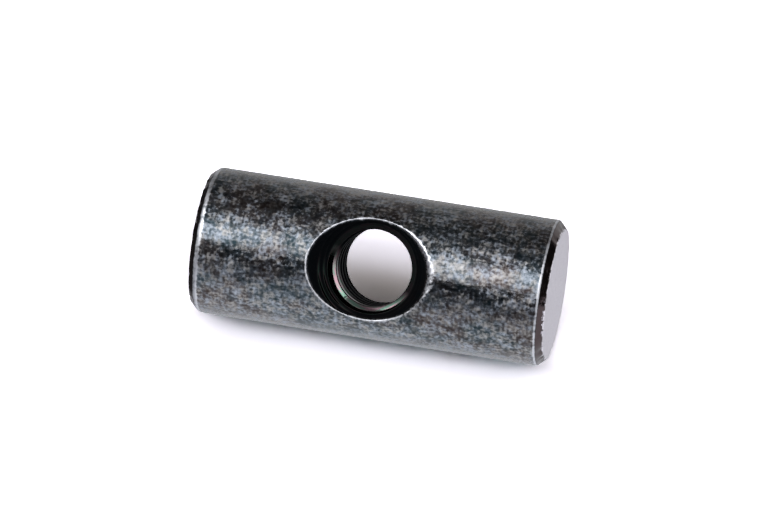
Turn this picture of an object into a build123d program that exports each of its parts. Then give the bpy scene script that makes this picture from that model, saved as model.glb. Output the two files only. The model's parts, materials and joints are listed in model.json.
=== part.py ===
from build123d import *

import os
from math import radians, tan

# Cross dowel nut, also called a barrel nut: a short steel barrel with a tapped hole across it.
# The barrel slides into a round pocket drilled in a panel. A connector bolt comes in from the
# panel's edge and screws into the cross hole, which is countersunk from both sides so that the
# bolt finds its way into the thread from either one.
#
# The nut stands on one end. Its axis is +Z, its origin is the centre of the lower end face and
# its cross hole runs along Y. Lengths are in millimetres, angles in degrees.

# Barrel
barrel_diameter = 9.8  # slides into a 10 mm pocket
barrel_length = 24.0
end_chamfer = 0.5  # at 45 degrees, on both rims

# Cross hole, tapped M6 x 1. The thread's ridges start at the bore and are not cut here.
thread_major_diameter = 6.0
thread_minor_diameter = 5.1  # the bore that is left between the thread's crests
lead_in_angle = 120.0  # included angle of the chamfer that opens the bore to the major diameter
countersink_angle = 60.0  # included angle of the mouth
countersink_depth = 1.95  # from the barrel's crown to where the thread begins

# The countersinking tool starts this far outside the barrel, so that its cut is open.
tool_overrun = 1.0

barrel_radius = barrel_diameter / 2
major_radius = thread_major_diameter / 2
minor_radius = thread_minor_diameter / 2

# Places along the cross hole, as distances from the barrel's axis
tool_start = barrel_radius + tool_overrun
thread_start = barrel_radius - countersink_depth
bore_end = thread_start - (major_radius - minor_radius) / tan(radians(lead_in_angle / 2))
tool_radius = major_radius + (tool_start - thread_start) * tan(radians(countersink_angle / 2))

hole_height = barrel_length / 2

with BuildPart() as cross_dowel:
    # Turned and parted-off blank
    with BuildSketch(Plane.XY) as barrel_section:
        Circle(barrel_radius)
    extrude(amount=barrel_length)
    chamfer(cross_dowel.edges().filter_by(GeomType.CIRCLE), length=end_chamfer)

    # Cross hole: one half of its section from the barrel's axis out to one mouth, mirrored to
    # the other mouth and turned about the hole's own axis
    with BuildSketch(Plane.XY.offset(hole_height)) as hole_section:
        with BuildLine() as hole_outline:
            Polyline(
                (0, 0),
                (minor_radius, 0),
                (minor_radius, bore_end),
                (major_radius, thread_start),
                (tool_radius, tool_start),
                (0, tool_start),
                close=True,
            )
        make_face()
        mirror(about=Plane.XZ)
    revolve(axis=Axis((0, 0, hole_height), (0, 1, 0)), mode=Mode.SUBTRACT)

cross_dowel.part.label = "cross_dowel"

os.makedirs("parts", exist_ok=True)
export_step(cross_dowel.part, "parts/cross_dowel.step")
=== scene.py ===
"""Dressed scene of a cross dowel nut: a short black-oxide steel barrel, tapped across its middle.

The nut is one piece of metal, so it is one mesh: the barrel's side round both mouths of the cross
hole, the two chamfered ends, and the wall of the hole with its M6 thread. Lengths are in
millimetres until a mesh is written, which is in metres. The barrel's axis is +Z, it stands on
z = 0, and the cross hole runs along Y.
"""

import json
import logging
from collections.abc import Sequence
from dataclasses import dataclass, field
from enum import Enum
from math import cos, pi, radians, sin, tan

import bmesh
import bpy
import numpy as np
from mathutils import Matrix, Vector
from numpy.typing import NDArray

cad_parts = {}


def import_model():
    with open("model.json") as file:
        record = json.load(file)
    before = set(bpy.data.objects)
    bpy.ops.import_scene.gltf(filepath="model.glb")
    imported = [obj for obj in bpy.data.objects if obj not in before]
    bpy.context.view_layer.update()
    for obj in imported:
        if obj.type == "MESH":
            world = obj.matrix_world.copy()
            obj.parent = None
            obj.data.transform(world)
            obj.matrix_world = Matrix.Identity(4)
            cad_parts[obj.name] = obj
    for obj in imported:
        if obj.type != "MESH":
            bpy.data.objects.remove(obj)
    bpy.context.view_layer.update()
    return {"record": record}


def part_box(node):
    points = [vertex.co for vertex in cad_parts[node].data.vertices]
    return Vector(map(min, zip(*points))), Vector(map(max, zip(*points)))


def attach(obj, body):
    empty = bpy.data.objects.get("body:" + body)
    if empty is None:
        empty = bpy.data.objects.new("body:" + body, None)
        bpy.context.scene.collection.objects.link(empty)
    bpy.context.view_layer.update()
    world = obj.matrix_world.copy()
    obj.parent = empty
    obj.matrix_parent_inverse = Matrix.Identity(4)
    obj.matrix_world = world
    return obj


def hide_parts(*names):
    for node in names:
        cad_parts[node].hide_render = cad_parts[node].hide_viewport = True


Array = NDArray[np.float64]
Socket = bpy.types.NodeSocket
Tree = bpy.types.NodeTree
Size = tuple[float, float, float]
Stops = tuple[tuple[float, str], ...]
MILLIMETRE = 0.001

log = logging.getLogger("cross_dowel")


class Wear(Enum):
    """Float attributes on the mesh's points, which the finish reads."""

    EDGE = "edge_wear"
    # Keeps places from rubbing, and in the hole lets the wall be painted near black as shade inside
    # the hole.
    SHELTERED = "sheltered"
    # Temper tint laid on as a painted sheen: bright near the front mouth and on one side, fading to
    # painted shade deeper in.
    THREAD = "on_thread"
    FACE = "end_face"


class Mouth(Enum):
    """The two mouths of the cross hole, with the sign of their Y."""

    FRONT = -1.0
    BACK = 1.0


class End(Enum):
    """The two ends: height as a share of the length, which way it points, the rim's rounding."""

    FOOT = (0.0, -1.0, 0.215)
    HEAD = (1.0, 1.0, 0.10)

    @property
    def share(self) -> float:
        """The end's height as a share of the barrel's length."""
        return self.value[0]

    @property
    def outward(self) -> float:
        """Which way the end points along the barrel, 1 or -1."""
        return self.value[1]

    @property
    def rounding(self) -> float:
        """How far from the chamfer's corner the rim's rounding starts, in millimetres."""
        return self.value[2]


@dataclass
class Patch:
    """A grid of points, rows by columns, with one value of each wear attribute a point."""

    points: Array
    wear: dict[Wear, Array] = field(default_factory=dict)


@dataclass(frozen=True)
class EdgeNoise:
    """Unevenness along a closed edge: cosines with seeded phases, scaled to peak near 1."""

    seed: int
    lowest: int = 3
    highest: int = 60

    def along(self, angles: Array) -> Array:
        """Give the unevenness at each angle: the sum over k of cos(k * angle + phase_k) / sqrt(k).

        Args:
            angles: Angles round the edge, in radians.

        Returns:
            Values between -1 and 1, one for each angle.
        """
        draw = np.random.default_rng(self.seed)
        waves = np.arange(self.lowest, self.highest + 1)
        phases = draw.uniform(0.0, 2.0 * pi, waves.size)
        heights = 1.0 / np.sqrt(waves)
        terms = heights * np.cos(np.multiply.outer(angles, waves) + phases)
        spread = np.sqrt((heights**2).sum() / 2.0)
        return np.clip(terms.sum(axis=-1) / spread / 2.2, -1.0, 1.0)


@dataclass(frozen=True)
class Burr:
    """A bump left on an edge: where it is, how wide along the edge, and how far it stands out."""

    angle: float
    width: float
    height: float

    def along(self, angles: Array) -> Array:
        """Give the bump at each angle: height * exp(-(angle from the middle / width)^2)."""
        turn = np.mod(angles - radians(self.angle) + pi, 2.0 * pi) - pi
        return self.height * np.exp(-((turn / radians(self.width)) ** 2))


def rounded_corner(before: Array, corner: Array, after: Array, steps: int) -> tuple[Array, Array]:
    """Round a corner along a whole edge with a parabola: (1-u)^2 A + 2u(1-u) C + u^2 B.

    The wear is 1 - (2u - 1)^4 / 2: full over most of the rounding and half where it runs out.

    Args:
        before: Points where the rounding starts, columns x 3.
        corner: The sharp corner's points, columns x 3.
        after: Points where the rounding ends, columns x 3.
        steps: Number of steps across the rounding.

    Returns:
        The grid of points, steps + 1 rows, and how worn each is, 0.5 to 1.
    """
    u = np.linspace(0.0, 1.0, steps + 1)[:, None, None]
    points = (1.0 - u) ** 2 * before + 2.0 * u * (1.0 - u) * corner + u**2 * after
    worn = np.broadcast_to(1.0 - 0.5 * (2.0 * u[..., 0] - 1.0) ** 4, points.shape[:2])
    return points, worn.copy()


def facing(angles: Array, toward: float, power: float) -> Array:
    """Weigh angles by how nearly they face one: max(cos(angle - toward), 0)^power."""
    return np.maximum(np.cos(angles - toward), 0.0) ** power


def fading(distance: Array, reach: float) -> Array:
    """Give the wear beside an edge: 0.5 at the edge, falling as exp(-distance / reach)."""
    return 0.5 * np.exp(-np.maximum(distance, 0.0) / reach)


@dataclass
class CrossHole:
    """The tapped cross hole: an M6 x 1 thread between two lead-in chamfers and two countersinks.

    Angles round the hole run from +X towards +Z and are in radians. The fields that end in _at say
    where the lip is widest and where the painted sheen on the thread and the countersink is
    strongest.
    """

    height: float
    barrel_radius: float
    minor_radius: float
    bore_length: float
    major_radius: float = 3.0
    pitch: float = 1.0
    lead_in_angle: float = 120.0
    countersink_angle: float = 60.0
    thread_phase: float = 0.40
    rows_a_pitch: int = 20
    columns: int = 288
    lip: float = 0.10
    lip_widest: float = 0.40
    lip_widest_at: float = pi / 2.0 + 0.26
    lip_towards_x: float = 0.4
    lip_by_burrs: float = 1.4
    lip_unevenness: float = 0.35
    lip_steps: int = 7
    lip_fade: float = 0.05
    corner_softness: float = 0.008
    groove_radii: tuple[float, ...] = (3.17, 3.45)
    groove_depth: float = 0.016
    groove_width: float = 0.045
    # Depth into the hole over which the wall becomes unrubbed and is painted near black as shade.
    shelter_and_shade_depth: float = 0.15
    # Painted sheen on the thread: how deep it reaches from each mouth, how much further it reaches
    # on one side and where, its least share round the hole, and where it is strongest. Past it the
    # wall is painted shade.
    sheen_depth: dict[Mouth, float] = field(
        default_factory=lambda: {Mouth.FRONT: 0.55, Mouth.BACK: 0.06}
    )
    sheen_deeper: float = 2.2
    sheen_deeper_at: float = -1.1
    sheen_least: float = 0.06
    sheen_at: float = -0.44
    temper_margin: float = 0.02
    temper_run_out: float = 0.08
    # Where round the hole the countersink's grooves carry the painted sheen as glints.
    scored_sheen_at: float = -0.95
    burrs: tuple[Burr, ...] = (
        Burr(198.0, 3.0, 0.10), Burr(164.0, 2.5, 0.07), Burr(216.0, 2.5, 0.03),
    )

    @property
    def thread_start(self) -> float:
        """Distance from the barrel's axis at which the countersink ends and the lead-in starts."""
        drop = (self.major_radius - self.minor_radius) / tan(radians(self.lead_in_angle / 2.0))
        return self.bore_length / 2.0 + drop

    def angles(self) -> Array:
        """Angles round the hole from +X towards +Z, with the first repeated as the last."""
        return np.linspace(0.0, 2.0 * pi, self.columns + 1) - pi / 4.0

    def cone_radius(self, reach: Array) -> Array:
        """Radius of the countersink at a distance from the barrel's axis, along the hole."""
        slope = tan(radians(self.countersink_angle / 2.0))
        return self.major_radius + (reach - self.thread_start) * slope

    def grooves(self, cone: Array) -> Array:
        """Mark the tool's grooves on the countersink: each is exp(-((r - groove) / width)^2)."""
        return sum(np.exp(-(((cone - r) / self.groove_width) ** 2)) for r in self.groove_radii)

    def raised(self, angles: Array) -> Array:
        """Height of the burrs on the lip, added together."""
        return sum(burr.along(angles) for burr in self.burrs)

    def mouth_reach(self, angles: Array) -> Array:
        """Find where the countersink meets the barrel, as a distance h along the hole.

        The cone has radius a + k h and the barrel has radius R, so h solves
        h^2 + (a + k h)^2 cos^2 t = R^2, which is a quadratic in h.

        Args:
            angles: Angles t round the hole, in radians.

        Returns:
            The distance h from the barrel's axis at each angle.
        """
        k = tan(radians(self.countersink_angle / 2.0))
        a = self.major_radius - self.thread_start * k
        c2 = np.cos(angles) ** 2
        lead = 1.0 + k * k * c2
        half = a * k * c2
        rest = a * a * c2 - self.barrel_radius**2
        return (-half + np.sqrt(half**2 - lead * rest)) / lead

    def thread_radius(self, angles: Array, reach: Array) -> Array:
        """Radius of the internal thread: flats at crest and root, 60 degrees between flanks.

        The phase of the helix is y / pitch + t / 2 pi, which is right-handed about the hole. The
        wall drops from the root by tan 60 degrees for each millimetre past the root's half width.

        Args:
            angles: Angles t round the hole, in radians.
            reach: Places y along the hole, in millimetres.

        Returns:
            The radius at each place.
        """
        phase = reach / self.pitch + angles / (2.0 * pi) + self.thread_phase
        from_root = np.abs(phase - np.round(phase)) * self.pitch
        flank = self.major_radius - (from_root - self.pitch / 16.0) * tan(radians(60.0))
        return np.clip(flank, self.minor_radius, self.major_radius)

    def wall_radius(self, angles: Array, reach: Array) -> Array:
        """Radius of the finished wall: the widest of thread, lead-in and countersink, blended.

        The soft join of radii r is s ln(sum of exp(r / s)), where s is the corner's softness.

        Args:
            angles: Angles t round the hole, in radians.
            reach: Places y along the hole, in millimetres.

        Returns:
            The radius at each place.
        """
        out = np.abs(reach)
        lead_slope = tan(radians(self.lead_in_angle / 2.0))
        lead_in = self.major_radius + (out - self.thread_start) * lead_slope
        lead_in = np.minimum(lead_in, self.major_radius)
        cone = self.cone_radius(out)
        grooved = cone + self.groove_depth * self.grooves(cone)
        s = self.corner_softness
        layers = np.stack([self.thread_radius(angles, reach), lead_in, grooved])
        return np.logaddexp.reduce(layers / s, axis=0) * s

    def place(self, angles: Array, reach: Array, radius: Array) -> Array:
        """Turn angle t, place and radius r into points: x = r cos t, z = height + r sin t."""
        x, z = radius * np.cos(angles), self.height + radius * np.sin(angles)
        return np.stack([x, reach, z], axis=-1)

    def lip_width(self, angles: Array) -> Array:
        """Width of the rounded lip: wider on the +X side and at burrs, widest near the head end."""
        towards_x = self.lip_towards_x * self.lip * facing(angles, 0.0, 2)
        smeared = self.lip_by_burrs * self.raised(angles)
        widening = (self.lip_widest - self.lip) * facing(angles, self.lip_widest_at, 4)
        return self.lip + towards_x + smeared + widening

    def lip_inside(self, angles: Array) -> Array:
        """Find where the rounded lip runs out on the countersink, as a distance along the hole.

        Args:
            angles: Angles t round the hole, in radians.

        Returns:
            The distance from the barrel's axis at each angle.
        """
        uneven = EdgeNoise(seed=3, lowest=5, highest=70).along(angles)
        width = self.lip_width(angles) + self.lip_unevenness * self.lip * uneven
        return self.mouth_reach(angles) - width * cos(radians(self.countersink_angle / 2.0))

    def wall(self) -> Patch:
        """Build the wall from lip to lip on a grid whose rows follow the thread's helix.

        Row k lies at y = pitch * (k / n - t / 2 pi), held between the two lips, so crests and
        roots run along rows, and the last column meets the first one n rows further on.

        The temper mark is temper tint laid on as a painted sheen. It is strongest near the front
        mouth and on one side round the hole, and it falls from the thread's ends as exp(-(depth /
        fade)^2), which leaves the wall deeper in as painted shade.
        On the countersink it follows the tool's grooves on one side as painted glints.

        Returns:
            The wall of the hole.
        """
        t = self.angles()
        n = self.rows_a_pitch
        top = int(np.ceil((self.barrel_radius / self.pitch + 2.0) * n))
        k = np.arange(-top, top + 1)[:, None]
        limit = self.lip_inside(t)
        shear = (t + pi / 4.0) / (2.0 * pi)
        reach = np.clip(self.pitch * (k / n - shear), -limit, limit)
        grid_t = np.broadcast_to(t, reach.shape)
        points = self.place(grid_t, reach, self.wall_radius(grid_t, reach))
        below = limit - np.abs(reach)
        # Depth past the lip: the wall there is unrubbed and is painted near black as shade inside
        # the hole.
        inside = np.clip(below / self.shelter_and_shade_depth, 0.0, 1.0)
        out = np.abs(reach)
        deep = np.maximum(self.bore_length / 2.0 - out, 0.0)
        # Painted sheen: it reaches far in only from the front mouth, further on one side, and is
        # strongest round one angle.
        fade = np.where(reach < 0.0, self.sheen_depth[Mouth.FRONT], self.sheen_depth[Mouth.BACK])
        fade = fade * (1.0 + self.sheen_deeper * facing(t, self.sheen_deeper_at, 4))
        run_out = (self.thread_start + self.temper_margin - out) / self.temper_run_out
        temper_and_sheen = np.clip(run_out, 0.0, 1.0) * np.exp(-((deep / fade) ** 2))
        least = self.sheen_least
        temper_and_sheen = temper_and_sheen * (least + (1.0 - least) * facing(t, self.sheen_at, 0.7))
        scored_sheen = self.grooves(self.cone_radius(out)) * facing(t, self.scored_sheen_at, 12)
        temper_and_sheen = np.maximum(temper_and_sheen, np.where(out > self.thread_start, scored_sheen, 0.0))
        wear = {
            Wear.SHELTERED: inside,
            Wear.THREAD: temper_and_sheen,
            Wear.EDGE: fading(below, self.lip_fade),
        }
        return Patch(points, wear)

    def lip_patch(self, mouth: Mouth, outer: Array) -> Patch:
        """Build the rounded lip between the barrel's side and the countersink.

        Args:
            mouth: Which mouth the lip belongs to.
            outer: The points on the barrel where the rounding starts, columns x 3.

        Returns:
            The lip, from the barrel's side inwards.
        """
        t = self.angles()
        sign = mouth.value
        edge = self.mouth_reach(t)
        raised = self.raised(t)
        corner = self.place(t, sign * (edge + raised), self.cone_radius(edge) - raised)
        inside = sign * self.lip_inside(t)
        inner = self.place(t, inside, self.wall_radius(t, inside))
        points, worn = rounded_corner(outer, corner, inner, self.lip_steps)
        return Patch(points, {Wear.EDGE: worn})


@dataclass
class BarrelEnd:
    """One chamfered end of the barrel, from the side to the middle of the flat face."""

    end: End
    length: float
    radius: float
    chamfer: float
    face_round: float = 0.06
    chips: float = 0.07
    steps: int = 6
    face_rings: int = 24
    shelter: float = 0.8
    edge_fade: float = 0.08
    face_margin: float = 0.05
    face_rise: float = 5.0

    def patches(self, rim: Array, angles: Array) -> list[Patch]:
        """Carry the end's profile round the axis: rim rounding, chamfer, face edge and flat face.

        Each ring is a circle of radius r at height z. The edge of the face is uneven, as
        EdgeNoise gives it, so the chamfer is chipped where the nut was parted off and tumbled.

        Args:
            rim: Points on the side where the rounding starts, columns x 3.
            angles: The angle of each column round the axis, from -Y towards +X.

        Returns:
            The patches in order from the side inwards. FACE is 0.5 along the edge of the face, and
            runs out on both sides of it, so that the finish can break the edge up.
        """
        out, rim_round = self.end.outward, self.end.rounding
        tip = self.end.share * self.length
        noise = EdgeNoise(seed=11 if self.end is End.HEAD else 23)
        chip = self.chips * noise.along(angles)

        def ring(radius: Array | float, inset: Array | float) -> Array:
            """Give the circle of a radius at a depth below the end's plane."""
            r = np.broadcast_to(radius, angles.shape)
            z = np.broadcast_to(tip - out * np.asarray(inset), angles.shape)
            return np.stack([r * np.sin(angles), -r * np.cos(angles), z], axis=-1)

        slant = rim_round / np.sqrt(2.0)
        rim_corner = ring(self.radius, self.chamfer)
        chamfer_top = ring(self.radius - slant, self.chamfer - slant)
        face_radius = self.radius - self.chamfer + chip
        face_inset = np.maximum(self.radius - face_radius - self.chamfer, 0.0)
        face_corner = ring(face_radius, face_inset)
        face_slant = self.face_round / np.sqrt(2.0)
        chamfer_end = ring(face_radius + face_slant, face_inset + face_slant)
        face_start = ring(face_radius - self.face_round, 0.0)
        rim_points, rim_worn = rounded_corner(rim, rim_corner, chamfer_top, self.steps)
        across = np.linspace(0.0, 1.0, self.steps + 1)
        slope = chamfer_top + (chamfer_end - chamfer_top) * across[:, None, None]
        edge_points, _ = rounded_corner(chamfer_end, face_corner, face_start, self.steps)
        inwards = np.linspace(1.0, 0.0, self.face_rings + 1)[:, None, None]
        middle = np.array([0.0, 0.0, tip])
        face = middle + (face_start - middle) * inwards
        wide = np.ones((1, angles.size))
        down = across[:, None] * wide
        chamfer_width = (self.chamfer - slant) * np.sqrt(2.0)
        worn = fading(down * chamfer_width, self.edge_fade)
        sheltered_more = self.shelter * down
        sheltered = self.shelter * np.ones_like(down)
        low, high = 0.5 - self.face_margin, 0.5 + self.face_margin
        on_face = np.minimum(high + (1.0 - inwards[..., 0]) * wide * self.face_rise, 1.0)
        at_edge = low + (high - low) * down
        return [
            Patch(rim_points, {Wear.EDGE: rim_worn, Wear.SHELTERED: sheltered_more}),
            Patch(slope, {Wear.EDGE: worn, Wear.SHELTERED: sheltered, Wear.FACE: low * down}),
            Patch(edge_points, {Wear.SHELTERED: sheltered - sheltered_more, Wear.FACE: at_edge}),
            Patch(face, {Wear.FACE: on_face}),
        ]


@dataclass
class CrossDowel:
    """The whole nut as one closed skin: side, lips, hole and ends, welded along shared points."""

    length: float
    radius: float
    chamfer: float
    hole: CrossHole
    side_rows: int = 30
    rows_at_rim: tuple[float, ...] = (0.972, 0.985, 0.994, 1.0)
    mouth_fade: float = 0.13
    rim_fade: float = 0.07
    name: str = "cross_dowel_steel"

    def rim_height(self, above: Array) -> Array:
        """Distance from the middle to the start of the rim's rounding, at the end on that side."""
        rounding = np.where(above > 0.0, End.HEAD.rounding, End.FOOT.rounding)
        return self.length / 2.0 - self.chamfer - rounding

    def mouth_outer(self, mouth: Mouth) -> Array:
        """Find where the lip's rounding starts on the barrel, in arc length s and height z.

        On the unrolled side the edge of the mouth is (R asin(x / R), z). The rounding starts one
        lip width further from the middle of the mouth, give or take the unevenness of the edge.

        Args:
            mouth: Which mouth.

        Returns:
            Columns x 2: the arc length s round the barrel from the mouth, and z.
        """
        hole = self.hole
        t = hole.angles()
        edge = hole.mouth_reach(t)
        rho = hole.cone_radius(edge)
        s = self.radius * np.arcsin(rho * np.cos(t) / self.radius)
        z = rho * np.sin(t)
        away = np.hypot(s, z)
        uneven = EdgeNoise(seed=5 if mouth is Mouth.FRONT else 7, lowest=4, highest=72).along(t)
        scale = (away + hole.lip_width(t) * (0.85 + 0.45 * uneven)) / away
        return np.stack([s * scale, hole.height + z * scale], axis=-1)

    def half_border(self) -> Array:
        """Lay the columns round the border of half the side: a rectangle on the unrolled barrel.

        A quarter of the columns go to each side of the rectangle, evenly spaced, so columns that
        leave the mouth at 45 degrees end in the rectangle's corners.

        Returns:
            Columns x 2: the arc length s round the barrel from the mouth, and z.
        """
        t = self.hole.angles()
        turn = np.mod(t + pi / 4.0, 2.0 * pi) / (pi / 2.0)
        quarter = np.minimum(np.floor(turn + 1e-9), 3.0).astype(int)
        along = 2.0 * (turn - quarter) - 1.0
        one = np.ones_like(along)
        wide = np.choose(quarter, [one, -along, -one, along])
        high = np.choose(quarter, [along, one, -along, -one])
        heights = self.length / 2.0 + high * self.rim_height(high)
        return np.stack([wide * pi * self.radius / 2.0, heights], axis=-1)

    def half_side(self, mouth: Mouth) -> Patch:
        """Build half the side round one mouth: straight blends on the unrolled barrel.

        Row by row the grid goes from the lip to the border as lip + (border - lip) w, where w
        grows as a power so that rows are closer near the mouth, with close rows at the rims. Then
        (s, z) wraps on the barrel as x = R sin(s / R), y = sign R cos(s / R).

        Args:
            mouth: Which mouth.

        Returns:
            Half the side, with its lip's start as the first row.
        """
        lip = self.mouth_outer(mouth)
        inner = np.linspace(0.0, 1.0, self.side_rows + 1)[:-1] ** 1.6
        w = np.concatenate([inner, self.rows_at_rim])[:, None, None]
        flat = lip + (self.half_border() - lip) * w
        angle = flat[..., 0] / self.radius
        y = mouth.value * self.radius * np.cos(angle)
        points = np.stack([self.radius * np.sin(angle), y, flat[..., 1]], axis=-1)
        from_lip = np.linalg.norm(flat - lip, axis=-1)
        above = flat[..., 1] - self.length / 2.0
        to_rim = self.rim_height(above) - np.abs(above)
        worn = np.maximum(fading(from_lip, self.mouth_fade), fading(to_rim, self.rim_fade))
        return Patch(points, {Wear.EDGE: worn})

    def patches(self) -> list[Patch]:
        """Collect every patch of the skin, in millimetres."""
        found = [self.hole.wall()]
        for mouth in Mouth:
            side = self.half_side(mouth)
            found += [side, self.hole.lip_patch(mouth, side.points[0])]
        angles = np.linspace(-pi, pi, self.hole.columns // 2 + 1)
        for end in End:
            height = end.share * self.length - end.outward * (self.chamfer + end.rounding)
            z = np.full(angles.shape, height)
            x, y = self.radius * np.sin(angles), -self.radius * np.cos(angles)
            rim = np.stack([x, y, z], axis=-1)
            found += BarrelEnd(end, self.length, self.radius, self.chamfer).patches(rim, angles)
        return found

    def build(self) -> bpy.types.Object:
        """Weld the patches into one object, with its wear attributes and outward faces.

        Returns:
            The nut, linked to the scene and at the origin.
        """
        return weld(self.name, self.patches())


def weld(name: str, patches: Sequence[Patch]) -> bpy.types.Object:
    """Join grids of points into one closed mesh and merge the points that they share.

    Args:
        name: The object's name.
        patches: The grids, in millimetres.

    Returns:
        The new object, linked to the scene.
    """
    faces: list[NDArray[np.int64]] = []
    start = 0
    for patch in patches:
        rows, columns = patch.points.shape[:2]
        index = start + np.arange(rows * columns).reshape(rows, columns)
        corners = [index[:-1, :-1], index[:-1, 1:], index[1:, 1:], index[1:, :-1]]
        faces.append(np.stack(corners, axis=-1).reshape(-1, 4))
        start += rows * columns
    points = np.concatenate([p.points.reshape(-1, 3) for p in patches]) * MILLIMETRE
    mesh = bpy.data.meshes.new(name)
    mesh.from_pydata(points, [], np.concatenate(faces))
    for kind in Wear:
        blank = [np.zeros(p.points.shape[:2]) for p in patches]
        values = np.concatenate([p.wear.get(kind, b).ravel() for p, b in zip(patches, blank)])
        mesh.attributes.new(kind.value, "FLOAT", "POINT").data.foreach_set("value", values)
    skin = bmesh.new()
    skin.from_mesh(mesh)
    bmesh.ops.remove_doubles(skin, verts=skin.verts, dist=4e-7)
    bmesh.ops.dissolve_degenerate(skin, edges=skin.edges, dist=1e-8)
    bmesh.ops.recalc_face_normals(skin, faces=skin.faces)
    open_edges = sum(1 for edge in skin.edges if not edge.is_manifold)
    skin.to_mesh(mesh)
    skin.free()
    mesh.polygons.foreach_set("use_smooth", np.ones(len(mesh.polygons), dtype=bool))
    mesh.update()
    thing = bpy.data.objects.new(name, mesh)
    bpy.context.scene.collection.objects.link(thing)
    mesh.calc_loop_triangles()
    log.info("%s: %d triangles, %d open edges", name, len(mesh.loop_triangles), open_edges)
    return thing


def linear(colour: str) -> tuple[float, float, float, float]:
    """Turn an sRGB hex colour into linear RGBA.

    Args:
        colour: Six hex digits after a #.

    Returns:
        Red, green, blue and an alpha of 1.
    """
    parts = np.array([int(colour[i : i + 2], 16) / 255.0 for i in (1, 3, 5)])
    curved = np.where(parts <= 0.04045, parts / 12.92, ((parts + 0.055) / 1.055) ** 2.4)
    return (*map(float, curved), 1.0)


def add_node(
    tree: Tree,
    kind: str,
    settings: dict[str, object] | None = None,
    links: dict[str | int, Socket] | None = None,
    values: dict[str | int, object] | None = None,
) -> bpy.types.Node:
    """Add a node with its settings, its links and its constant inputs.

    Args:
        tree: The node tree.
        kind: The node's class name after "ShaderNode".
        settings: Properties of the node itself.
        links: Sockets that feed its inputs, by input name or index.
        values: Constants for its inputs, by input name or index.

    Returns:
        The new node.
    """
    node = tree.nodes.new("ShaderNode" + kind)
    for key, value in (settings or {}).items():
        setattr(node, key, value)
    for key, value in (values or {}).items():
        node.inputs[key].default_value = value
    for key, socket in (links or {}).items():
        tree.links.new(socket, node.inputs[key])
    return node


@dataclass
class Pattern:
    """A field of patterns over one object, measured in millimetres of its own coordinates."""

    tree: Tree
    millimetres: Socket = field(init=False)

    def __post_init__(self) -> None:
        """Turn the object's coordinates from metres into millimetres."""
        where = add_node(self.tree, "TexCoord").outputs["Object"]
        values = {"Scale": 1.0 / MILLIMETRE}
        scaled = add_node(self.tree, "VectorMath", {"operation": "SCALE"}, {0: where}, values)
        self.millimetres = scaled.outputs["Vector"]

    def noise(
        self, size: Size, detail: float = 2.0, rough: float = 0.5, twist: float = 0.0
    ) -> Socket:
        """Give smooth noise with a size along X, Y and Z.

        Args:
            size: Distance over which the noise swings once, in millimetres, along each axis.
            detail: Number of finer layers.
            rough: Weight of each finer layer.
            twist: How far the noise is pulled about by itself.

        Returns:
            The noise, between 0 and 1 and mostly near 0.5.
        """
        share = tuple(1.0 / s for s in size)
        links = {0: self.millimetres}
        scaled = add_node(self.tree, "VectorMath", {"operation": "MULTIPLY"}, links, {1: share})
        values = {"Scale": 1.0, "Detail": detail, "Roughness": rough, "Distortion": twist}
        noise = add_node(self.tree, "TexNoise", None, {"Vector": scaled.outputs[0]}, values)
        return noise.outputs["Fac"]

    def mark(self, kind: Wear) -> Socket:
        """Read one of the mesh's own attributes."""
        return add_node(self.tree, "Attribute", {"attribute_name": kind.value}).outputs["Fac"]

    def compute(self, operation: str, first: Socket, second: Socket | float) -> Socket:
        """Combine two values with a sum, product or other operation of the Math node."""
        node = add_node(self.tree, "Math", {"operation": operation}, {0: first})
        if isinstance(second, float):
            node.inputs[1].default_value = second
        else:
            self.tree.links.new(second, node.inputs[1])
        return node.outputs[0]

    def step(
        self, value: Socket, low: float, high: float, bottom: float = 0.0, top: float = 1.0
    ) -> Socket:
        """Rise smoothly from bottom to top while the value goes from low to high."""
        values = {"From Min": low, "From Max": high, "To Min": bottom, "To Max": top}
        settings = {"interpolation_type": "SMOOTHSTEP"}
        return add_node(self.tree, "MapRange", settings, {"Value": value}, values).outputs["Result"]

    def blend(self, share: Socket, first: Socket | str, second: Socket | str) -> Socket:
        """Mix two colours, each a socket or an sRGB hex colour."""
        node = add_node(self.tree, "Mix", {"data_type": "RGBA"}, {"Factor": share})
        for index, colour in ((6, first), (7, second)):
            if isinstance(colour, str):
                node.inputs[index].default_value = linear(colour)
            else:
                self.tree.links.new(colour, node.inputs[index])
        return node.outputs[2]


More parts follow.
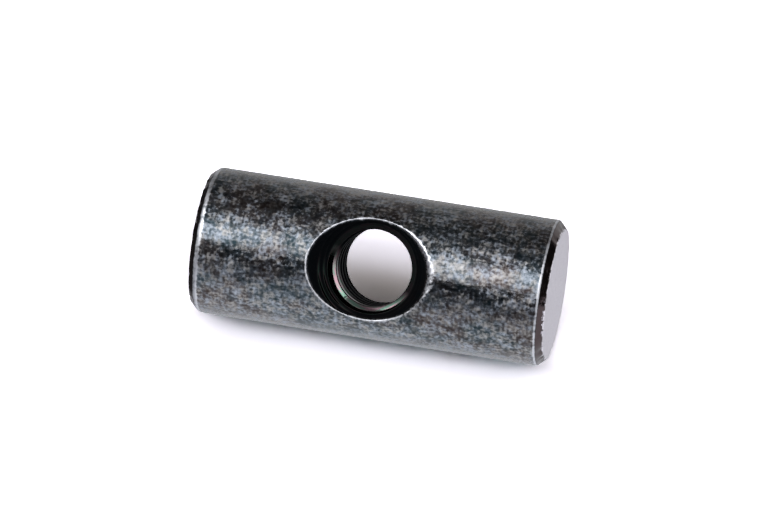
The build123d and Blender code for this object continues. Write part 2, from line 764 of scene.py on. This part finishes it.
@dataclass(frozen=True)
class BlackOxideSteel:
    """Tumbled black-oxide steel: a thin blue-black skin, rubbed through in flecks and on edges.

    The skin mirrors little, so the nut reads as black; the flecks of bare steel mirror far more
    and scatter, which gives the eye a grainy, salt-and-pepper sheen with hard bright edges.
    """

    skin_blue: str = "#1b272c"
    skin_brown: str = "#2d2625"
    fleck_cool: str = "#aab1bd"
    fleck_warm: str = "#b3b1b1"
    edge: str = "#b9bac0"
    face_dull: str = "#c9c4cb"
    face_bright: str = "#e6e1e8"
    # The hole's oxide, painted near black and darker than the skin, as shade inside the hole.
    hole: str = "#090a0d"
    chamfer: str = "#4b4040"
    # Temper tints, bright enough to serve as painted sheen on the thread's flanks.
    temper_sheen_rose: str = "#9c7f88"
    temper_sheen_green: str = "#6a8679"
    # Distance over which each pattern swings once, in millimetres along X, Y and Z. Tumbling
    # grain and tool rings are taken to be finer than 0.1 mm. Both are drawn at 0.2 mm, as coarse
    # as they need to show.
    grain: Size = (0.20, 0.20, 0.22)
    rings: Size = (0.9, 0.9, 0.20)
    drags: Size = (0.22, 0.22, 0.8)
    clumps: Size = (0.9, 0.9, 1.5)
    teeth: Size = (0.26, 0.26, 0.26)
    tints: Size = (2.6, 2.6, 3.4)
    specks: Size = (0.5, 0.5, 0.4)
    films: Size = (0.9, 0.09, 0.9)
    parting: Size = (0.12, 0.9, 0.5)
    twist: float = 0.15
    grain_share: float = 0.67
    stroke_share: float = 0.31
    clump_share: float = 0.60
    skin_rough: float = 0.18
    fleck_rough: float = 0.50
    hole_rough: float = 0.85
    cut_rough: float = 0.13
    face_rough: float = 0.33
    edge_rough: float = 0.44
    bump_height: float = 0.012

    def bare(self, at: Pattern, rubbed: Socket, sheltered: Socket) -> Socket:
        """Say how far the skin is rubbed through, 0 to 1. Where it is sheltered it hardly is."""
        flecks = at.compute("POWER", at.step(rubbed, 0.63, 1.41), 1.5)
        return at.compute("MULTIPLY", flecks, at.step(sheltered, 0.0, 1.0, 1.0, 0.04))

    def barrel_colour(self, at: Pattern, flecks: Socket) -> Socket:
        """Colour the side: skin that drifts between blue and brown, with flecks of bare steel."""
        drift = at.step(at.noise(self.tints, 3.0, 0.6), 0.42, 0.62)
        warmth = at.step(at.noise(self.specks, 2.0), 0.42, 0.60)
        skin = at.blend(drift, self.skin_blue, self.skin_brown)
        return at.blend(flecks, skin, at.blend(warmth, self.fleck_cool, self.fleck_warm))

    def cut_colour(self, at: Pattern, thread: Socket, chamfered: Socket) -> Socket:
        """Colour what a tool cut: the hole painted near black as shade, the chamfers, and the
        thread's temper tint laid on as a painted sheen.
        """
        films = at.step(at.noise(self.films, 1.0), 0.40, 0.60)
        sheen_tint = at.blend(films, self.temper_sheen_rose, self.temper_sheen_green)
        return at.blend(thread, at.blend(chamfered, self.hole, self.chamfer), sheen_tint)

    def build(self) -> bpy.types.Material:
        """Make the material.

        Returns:
            The finished material.
        """
        material = bpy.data.materials.new("tumbled_black_oxide_steel")
        material.use_nodes = True
        tree = material.node_tree
        tree.nodes.clear()
        at = Pattern(tree)
        grain = at.noise(self.grain, 1.8, 0.5, self.twist)
        clumps = at.noise(self.clumps, 3.0, 0.6)
        rings = at.noise(self.rings, 1.5, 0.5, self.twist)
        drags = at.noise(self.drags, 1.5, 0.5, self.twist)
        strokes = at.compute("MULTIPLY", at.compute("ADD", rings, drags), self.stroke_share)
        rubbed = at.compute("ADD", at.compute("MULTIPLY", grain, self.grain_share), strokes)
        rubbed = at.compute("ADD", rubbed, at.compute("MULTIPLY", clumps, self.clump_share))
        sheltered = at.mark(Wear.SHELTERED)
        # Temper tint laid on as a painted sheen near the front mouth and on one side of the hole.
        thread = at.mark(Wear.THREAD)
        on_end = at.mark(Wear.FACE)
        # The chipped edge of the face: the mark's even slope, broken up by noise as fine as chips.
        teeth = at.compute("MULTIPLY", at.noise(self.teeth, 3.0, 0.7), 0.7)
        face = at.step(at.compute("ADD", on_end, teeth), 0.80, 0.90)
        chamfered = at.step(on_end, 0.0, 0.02)
        worn = at.compute("MULTIPLY", at.compute("ADD", grain, clumps), 0.9)
        bright = at.step(at.compute("ADD", worn, at.mark(Wear.EDGE)), 1.36, 2.0)
        flecks = self.bare(at, rubbed, sheltered)

        colour = self.barrel_colour(at, flecks)
        cut = self.cut_colour(at, thread, chamfered)
        # The cut colour takes over where sheltered. In the hole this is painted shade, a near black
        # wall.
        colour = at.blend(at.compute("MULTIPLY", sheltered, 0.92), colour, cut)
        parted = at.noise(self.parting, 3.0, 0.7)
        colour = at.blend(face, colour, at.blend(parted, self.face_dull, self.face_bright))
        colour = at.blend(bright, colour, self.edge)

        rough = at.step(flecks, 0.0, 0.7, self.skin_rough, self.fleck_rough)
        smooth = at.compute("ADD", thread, chamfered)
        smooth = at.step(smooth, 0.0, 0.6, self.hole_rough, self.cut_rough)
        change = at.compute("MULTIPLY", sheltered, at.compute("SUBTRACT", smooth, rough))
        rough = at.compute("ADD", rough, change)
        for where, least in ((face, self.face_rough), (bright, self.edge_rough)):
            rough = at.compute("MAXIMUM", rough, at.compute("MULTIPLY", where, least))

        bump = add_node(
            tree,
            "Bump",
            links={"Height": at.compute("ADD", grain, strokes)},
            values={"Strength": 1.0, "Distance": self.bump_height * MILLIMETRE},
        )
        shader = add_node(
            tree,
            "BsdfPrincipled",
            links={"Base Color": colour, "Roughness": rough, "Normal": bump.outputs[0]},
            values={"Metallic": 1.0},
        )
        add_node(tree, "OutputMaterial", links={"Surface": shader.outputs["BSDF"]})
        return material


@dataclass(frozen=True)
class Table:
    """The white table that the nut lies on: a plane that touches the barrel along its side.

    The nut's own up is +Z, along the barrel, and the table's up is level in that frame.
    """

    tilt: float = 40.0
    size: float = 1.2
    paper: str = "#fcfcfc"

    @property
    def up(self) -> Vector:
        """The table's up, in the nut's frame."""
        return Vector((-cos(radians(self.tilt)), -sin(radians(self.tilt)), 0.0))

    @property
    def front(self) -> Vector:
        """The level direction from the nut towards the front of the table."""
        return Vector((sin(radians(self.tilt)), -cos(radians(self.tilt)), 0.0))

    @property
    def right(self) -> Vector:
        """The level direction along the barrel, towards its head end."""
        return Vector((0.0, 0.0, 1.0))

    def toward(self, elevation: float, turn: float) -> Vector:
        """Give the direction at an elevation, turned from the front towards the head end.

        Args:
            elevation: Degrees above the table.
            turn: Degrees from the front, positive towards the head end.

        Returns:
            The unit direction.
        """
        level = self.front * cos(radians(turn)) + self.right * sin(radians(turn))
        return self.up * sin(radians(elevation)) + level * cos(radians(elevation))

    def material(self) -> bpy.types.Material:
        """Make matte white paper that is clear from underneath, so it hides the nut from no side.

        The paper counts twice, so it stays white until the nut takes half of its light, as paper
        does behind dark metal.
        """
        material = bpy.data.materials.new("white_paper")
        material.use_nodes = True
        tree = material.node_tree
        tree.nodes.clear()
        paper = add_node(tree, "BsdfDiffuse", values={"Color": linear(self.paper)})
        paper = add_node(tree, "AddShader", links={0: paper.outputs[0], 1: paper.outputs[0]})
        clear = add_node(tree, "BsdfTransparent")
        side = add_node(tree, "NewGeometry").outputs["Backfacing"]
        links = {0: side, 1: paper.outputs[0], 2: clear.outputs[0]}
        surface = add_node(tree, "MixShader", links=links)
        add_node(tree, "OutputMaterial", links={"Surface": surface.outputs[0]})
        return material

    def build(self, centre: Vector, barrel_radius: float) -> bpy.types.Object:
        """Lay the table against the barrel.

        Args:
            centre: The middle of the nut, in metres.
            barrel_radius: The barrel's radius, in metres.

        Returns:
            The table.
        """
        middle = centre - self.up * barrel_radius
        half = self.size / 2.0
        corners = [
            middle + self.front * (half * a) + self.right * (half * b)
            for a, b in ((-1.0, -1.0), (1.0, -1.0), (1.0, 1.0), (-1.0, 1.0))
        ]
        mesh = bpy.data.meshes.new("table")
        mesh.from_pydata([tuple(c) for c in corners], [], [(0, 1, 2, 3)])
        mesh.update()
        if Vector(mesh.polygons[0].normal).dot(self.up) < 0.0:
            mesh.flip_normals()
        mesh.materials.append(self.material())
        table = bpy.data.objects.new("table", mesh)
        bpy.context.scene.collection.objects.link(table)
        table.visible_diffuse = False
        table.visible_glossy = False
        table.visible_transmission = False
        table.visible_shadow = False
        return table


@dataclass(frozen=True)
class Softbox:
    """An area lamp that faces the nut and shows only in its metal."""

    name: str
    elevation: float
    turn: float
    width: float
    height: float
    power: float
    distance: float = 0.6

    def build(self, table: Table, centre: Vector) -> bpy.types.Object:
        """Hang the lamp, with its width along the table's right.

        Args:
            table: The table, which gives up and front.
            centre: The middle of the nut, in metres.

        Returns:
            The lamp.
        """
        data = bpy.data.lights.new(self.name, "AREA")
        data.shape = "RECTANGLE"
        data.size = self.width
        data.size_y = self.height
        data.energy = self.power
        lamp = bpy.data.objects.new(self.name, data)
        away = table.toward(self.elevation, self.turn)
        side = table.up.cross(away).normalized()
        turn = Matrix((side, away.cross(side), away)).transposed().to_4x4()
        lamp.matrix_world = Matrix.Translation(centre + away * self.distance) @ turn
        lamp.visible_diffuse = False
        bpy.context.scene.collection.objects.link(lamp)
        return lamp


@dataclass(frozen=True)
class Studio:
    """Soft light: a white table, a dim room round it, a pale wall behind and softboxes.

    Each ramp gives sRGB colours by degrees from the front edge of the table upwards. A side ramp
    takes over between side_start and side_full, shares of a direction that lie along the barrel.
    """

    table: Table
    softboxes: tuple[Softbox, ...] = (
        Softbox("key_softbox", 56.0, -12.0, 0.90, 0.34, 3.0),
        Softbox("right_softbox", 44.0, 66.0, 0.34, 0.62, 2.0),
        Softbox("left_softbox", 46.0, -78.0, 0.42, 0.30, 2.4),
    )
    around: Stops = (
        (-180.0, "#b4b4b4"), (-162.0, "#b4b4b4"), (-150.0, "#979798"), (-138.0, "#9c9da1"),
        (-105.0, "#d2d4da"), (-84.0, "#f6f9ff"), (-65.0, "#fcfdff"), (-16.0, "#fafcff"),
        (-8.0, "#a6a8ad"), (12.0, "#8e9094"), (22.0, "#56575b"), (33.0, "#5c5d61"),
        (50.0, "#84868a"), (68.0, "#b0b2b6"), (80.0, "#a6a8ac"), (92.0, "#8a8b8d"),
        (102.0, "#8a8a8b"), (112.0, "#737271"), (122.0, "#646261"), (131.0, "#646261"),
        (141.0, "#757371"), (151.0, "#868482"), (160.0, "#a2a09e"), (170.0, "#a2a1a0"),
        (180.0, "#aeaeae"),
    )
    on_right: Stops = (
        (-180.0, "#e0e0e0"), (-16.0, "#f0f5ff"), (-9.0, "#303030"), (165.0, "#303030"),
        (180.0, "#e0e0e0"),
    )
    on_left: Stops = (
        (-180.0, "#3c3c3c"), (-80.0, "#484848"), (-50.0, "#a0a4ac"), (-16.0, "#a0a4ac"),
        (-9.0, "#303030"), (165.0, "#303030"), (180.0, "#3c3c3c"),
    )
    over_table: Stops = (
        (-180.0, "#3c3938"), (0.0, "#060606"), (72.0, "#0b0b0b"), (78.0, "#706f77"),
        (90.0, "#737279"), (98.0, "#68676d"), (106.0, "#565457"), (113.0, "#4d4a4a"),
        (120.0, "#3c3938"), (180.0, "#3c3938"),
    )
    beside_table: Stops = (
        (-180.0, "#3c3938"), (0.0, "#060606"), (45.5, "#0a0a0a"), (48.0, "#f8f5ff"),
        (63.0, "#f8f5ff"), (67.0, "#dbd9e0"), (71.0, "#afadb3"), (75.0, "#7c7b7f"),
        (78.0, "#706f77"), (90.0, "#737279"), (98.0, "#68676d"), (106.0, "#565457"),
        (113.0, "#4d4a4a"), (120.0, "#3c3938"), (180.0, "#3c3938"),
    )
    side_start: float = 0.35
    side_full: float = 0.65
    table_brightness: float = 6.5
    brightness: float = 1.5

    def ramp(self, tree: Tree, angle: Socket, stops: Stops) -> Socket:
        """Give a colour by the angle from the front edge upwards, in degrees.

        Args:
            tree: The node tree.
            angle: The angle, in radians between -pi and pi.
            stops: Pairs of degrees and sRGB hex colour.

        Returns:
            The colour.
        """
        links = {"Value": angle}
        share = add_node(tree, "MapRange", None, links, {"From Min": -pi, "From Max": pi})
        ramp = add_node(tree, "ValToRGB", links={"Fac": share.outputs["Result"]})
        elements = ramp.color_ramp.elements
        elements.remove(elements[-1])
        for number, (degrees_up, colour) in enumerate(stops):
            place = (degrees_up + 180.0) / 360.0
            element = elements[0] if number == 0 else elements.new(place)
            element.position = place
            element.color = linear(colour)
        return ramp.outputs["Color"]

    def world(self) -> bpy.types.World:
        """Make the surroundings: what the metal mirrors, and the soft light that the table gets.

        The metal mirrors a white table, a dim room and a pale wall behind, with dark sides. Only
        matte surfaces get the stronger light for the table, and the nut has none: a bright band
        on both sides in front, and softer light from above and behind, which leaves the shadow.
        """
        world = bpy.data.worlds.new("studio")
        world.use_nodes = True
        world.cycles.sampling_method = "NONE"
        tree = world.node_tree
        tree.nodes.clear()
        where = add_node(tree, "TexCoord").outputs["Generated"]
        dot = {"operation": "DOT_PRODUCT"}
        rise, out, aside = (
            add_node(tree, "VectorMath", dot, {0: where}, {1: axis}).outputs["Value"]
            for axis in (self.table.up, self.table.front, self.table.right)
        )
        angle = add_node(tree, "Math", {"operation": "ARCTAN2"}, {0: rise, 1: out}).outputs[0]

        def room(middle: Stops, right: Stops, left: Stops, level: float) -> Socket:
            """Light the room by three ramps: over the middle, and towards each end."""
            colour = self.ramp(tree, angle, middle)
            for stops, sign in ((right, 1.0), (left, -1.0)):
                values = {"From Min": self.side_start * sign, "From Max": self.side_full * sign}
                share = add_node(tree, "MapRange", None, {"Value": aside}, values).outputs["Result"]
                links = {"Factor": share, 6: colour, 7: self.ramp(tree, angle, stops)}
                colour = add_node(tree, "Mix", {"data_type": "RGBA"}, links).outputs[2]
            links, values = {"Color": colour}, {"Strength": level}
            return add_node(tree, "Background", None, links, values).outputs[0]

        mirrored = room(self.around, self.on_right, self.on_left, self.brightness)
        beside = self.beside_table
        for_table = room(self.over_table, beside, beside, self.table_brightness)
        white = add_node(tree, "Background", values={"Color": (1.0, 1.0, 1.0, 1.0)}).outputs[0]
        path = add_node(tree, "LightPath").outputs
        links = {0: path["Is Diffuse Ray"], 1: mirrored, 2: for_table}
        hidden = add_node(tree, "MixShader", None, links).outputs[0]
        links = {0: path["Is Camera Ray"], 1: hidden, 2: white}
        surface = add_node(tree, "MixShader", None, links)
        add_node(tree, "OutputWorld", links={"Surface": surface.outputs[0]})
        return world

    def build(self, centre: Vector, barrel_radius: float) -> None:
        """Set the table, the surroundings and the lamps.

        Args:
            centre: The middle of the nut, in metres.
            barrel_radius: The barrel's radius, in metres.
        """
        self.table.build(centre, barrel_radius)
        bpy.context.scene.world = self.world()
        for softbox in self.softboxes:
            softbox.build(self.table, centre)
        bpy.context.scene.view_settings.view_transform = "Standard"


@dataclass(frozen=True)
class ProductCamera:
    """A long lens that looks into the cross hole, with the barrel lying across the picture."""

    turn: float = 8.94
    rise: float = 4.86
    roll: float = 8.19
    distance: float = 0.490
    lens: float = 348.9
    aim_right: float = 0.00005
    aim_up: float = 0.00021

    def build(self, centre: Vector) -> bpy.types.Object:
        """Place the camera and make it the scene's.

        Args:
            centre: The middle of the nut, in metres.

        Returns:
            The camera.
        """
        head = Vector((0.0, 0.0, 1.0))
        mouth = Vector((0.0, -1.0, 0.0))
        above = mouth.cross(head)
        turn, rise, roll = radians(self.turn), radians(self.rise), radians(self.roll)
        away = mouth * (cos(turn) * cos(rise)) + head * (sin(turn) * cos(rise)) + above * sin(rise)
        level = above.cross(away).normalized()
        upright = away.cross(level)
        right = level * cos(roll) + upright * sin(roll)
        up = upright * cos(roll) - level * sin(roll)
        data = bpy.data.cameras.new("product_camera")
        data.lens = self.lens
        data.sensor_width = 36.0
        data.clip_start, data.clip_end = 0.01, 10.0
        camera = bpy.data.objects.new("product_camera", data)
        place = centre + away * self.distance + right * self.aim_right + up * self.aim_up
        facing_nut = Matrix((right, up, away)).transposed().to_4x4()
        camera.matrix_world = Matrix.Translation(place) @ facing_nut
        bpy.context.scene.collection.objects.link(camera)
        bpy.context.scene.camera = camera
        return camera


def main() -> None:
    """Load the frame, build the nut, dress it, and set the camera and the studio."""
    logging.basicConfig(level=logging.INFO, format="%(name)s: %(message)s")
    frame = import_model()
    low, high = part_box("cross_dowel")
    mounts = {mount["name"]: mount for mount in frame["record"]["mounts"]}
    thread = mounts["cross_thread"]["dims"]
    straight = mounts["barrel_outside"]["dims"]["length_mm"]
    length = (high.z - low.z) / MILLIMETRE
    radius = (high.x - low.x) / 2.0 / MILLIMETRE
    hole = CrossHole(length / 2.0, radius, thread["r_mm"], thread["length_mm"])
    nut = CrossDowel(length, radius, (length - straight) / 2.0, hole).build()
    nut.data.materials.append(BlackOxideSteel().build())
    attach(nut, "root")
    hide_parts("cross_dowel")
    centre = (low + high) / 2.0
    ProductCamera().build(centre)
    Studio(Table()).build(centre, radius * MILLIMETRE)


if __name__ == "__main__":
    main()
